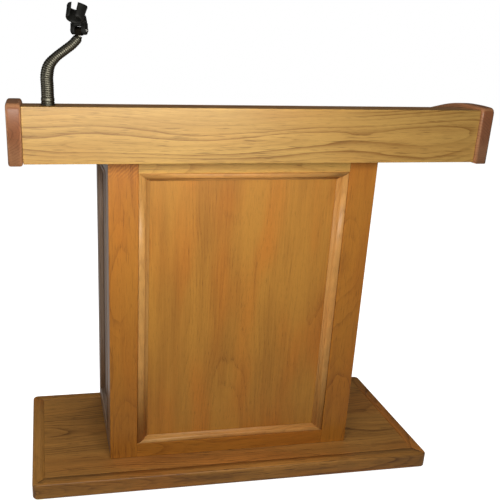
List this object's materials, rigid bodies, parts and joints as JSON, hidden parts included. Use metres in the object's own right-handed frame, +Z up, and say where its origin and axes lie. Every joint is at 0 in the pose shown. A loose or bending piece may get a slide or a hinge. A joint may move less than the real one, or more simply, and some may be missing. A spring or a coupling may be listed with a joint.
{
  "type": "lectern",
  "caption": "Wide presentation lectern: panelled oak cabinet on a broad base, sloping desk with deep front apron, and a bendable gooseneck with microphone clip.",
  "frame": {"origin": "on the floor, under the centre of the lectern's outline box", "axes": "+X to the right as the audience sees the front, +Y from the audience to the speaker, +Z up"},
  "size_m": [1.206, 0.547, 1.2886],
  "materials": {
    "apron_oak": "lacquered oak, horizontal grain",
    "frame_oak": "lacquered oak",
    "panel_oak": "lacquered oak veneer, vertical grain",
    "moulding_oak": "lacquered oak",
    "desk_oak": "lacquered oak",
    "end_oak": "lacquered oak, reddish brown",
    "base_oak": "lacquered dark oak",
    "inner_wood": "plain sealed wood",
    "neck_chrome": "dark chrome",
    "steel": "zinc plated",
    "clip_plastic": "black moulded plastic",
    "glide_nylon": "dark nylon"
  },
  "bodies": {
    "lectern": {"base_panel": "base_oak", "base_lipping_front": "base_oak", "base_lipping_back": "base_oak", "base_lipping_left": "base_oak", "base_lipping_right": "base_oak", "glide_front_left": "glide_nylon", "glide_front_right": "glide_nylon", "glide_back_left": "glide_nylon", "glide_back_right": "glide_nylon", "front_stile_left": "frame_oak", "front_stile_right": "frame_oak", "front_rail_bottom": "frame_oak", "front_rail_top": "frame_oak", "front_panel": "panel_oak", "front_moulding_bottom": "moulding_oak", "front_moulding_top": "moulding_oak", "front_moulding_left": "moulding_oak", "front_moulding_right": "moulding_oak", "left_side_stile_front": "frame_oak", "shelf_pin_front_left_side": "steel", "left_side_stile_back": "frame_oak", "shelf_pin_back_left_side": "steel", "left_side_rail_bottom": "frame_oak", "left_side_rail_top": "frame_oak", "left_side_panel": "panel_oak", "right_side_stile_front": "frame_oak", "shelf_pin_front_right_side": "steel", "right_side_stile_back": "frame_oak", "shelf_pin_back_right_side": "steel", "right_side_rail_bottom": "frame_oak", "right_side_rail_top": "frame_oak", "right_side_panel": "panel_oak", "cabinet_floor": "inner_wood", "cabinet_back_rail": "frame_oak", "shelf": "inner_wood", "apron": "apron_oak", "end_board_left": "end_oak", "end_board_right": "end_oak", "ledge": "desk_oak", "reading_board": "desk_oak", "desk_back_rail": "desk_oak", "desk_floor": "inner_wood", "book_stop": "end_oak", "desk_bearer_left": "inner_wood", "desk_bearer_right": "inner_wood", "neck_flange": "neck_chrome", "neck_socket": "neck_chrome", "neck_washer": "steel", "neck_nut": "steel", "neck_segment_1": "neck_chrome"},
    "neck_2": {"neck_segment_2": "neck_chrome"},
    "neck_3": {"neck_segment_3": "neck_chrome"},
    "neck_4": {"neck_segment_4": "neck_chrome"},
    "neck_5": {"neck_segment_5": "neck_chrome"},
    "neck_6": {"neck_segment_6": "neck_chrome"},
    "neck_7": {"neck_segment_7": "neck_chrome", "clip_knuckle": "steel"},
    "clip": {"mic_clip": "clip_plastic", "pivot_screw": "steel", "pivot_nut": "steel"}
  },
  "joints": [
    {"name": "neck_fore_1", "type": "hinge", "parent": "lectern", "child": "neck_2", "pos_m": [-0.5075, -0.2265, 1.10796], "axis": [1, 0, -0.0007], "range_deg": [-20, 20]},
    {"name": "neck_side_1", "type": "hinge", "parent": "neck_2", "child": "neck_3", "pos_m": [-0.50747, -0.2265, 1.13191], "axis": [0, 1, 0], "range_deg": [-20, 20]},
    {"name": "neck_fore_2", "type": "hinge", "parent": "neck_3", "child": "neck_4", "pos_m": [-0.50119, -0.2265, 1.15482], "axis": [0.879, 0, -0.4767], "range_deg": [-20, 20]},
    {"name": "neck_side_2", "type": "hinge", "parent": "neck_4", "child": "neck_5", "pos_m": [-0.48541, -0.2265, 1.17257], "axis": [0, 1, 0], "range_deg": [-20, 20]},
    {"name": "neck_fore_3", "type": "hinge", "parent": "neck_5", "child": "neck_6", "pos_m": [-0.46628, -0.2265, 1.18699], "axis": [0.6018, 0, -0.7986], "range_deg": [-20, 20]},
    {"name": "neck_side_3", "type": "hinge", "parent": "neck_6", "child": "neck_7", "pos_m": [-0.44715, -0.2265, 1.20141], "axis": [0, 1, 0], "range_deg": [-20, 20]},
    {"name": "clip_tilt", "type": "hinge", "parent": "neck_7", "child": "clip", "pos_m": [-0.4321, -0.2265, 1.23073], "axis": [0.891, -0.454, 0], "range_deg": [-60, 25]}
  ],
  "couplings": [
    {"joint": "neck_fore_2", "follows": "neck_fore_1", "ratio": 1},
    {"joint": "neck_fore_3", "follows": "neck_fore_1", "ratio": 1},
    {"joint": "neck_side_2", "follows": "neck_side_1", "ratio": 1},
    {"joint": "neck_side_3", "follows": "neck_side_1", "ratio": 1}
  ]
}
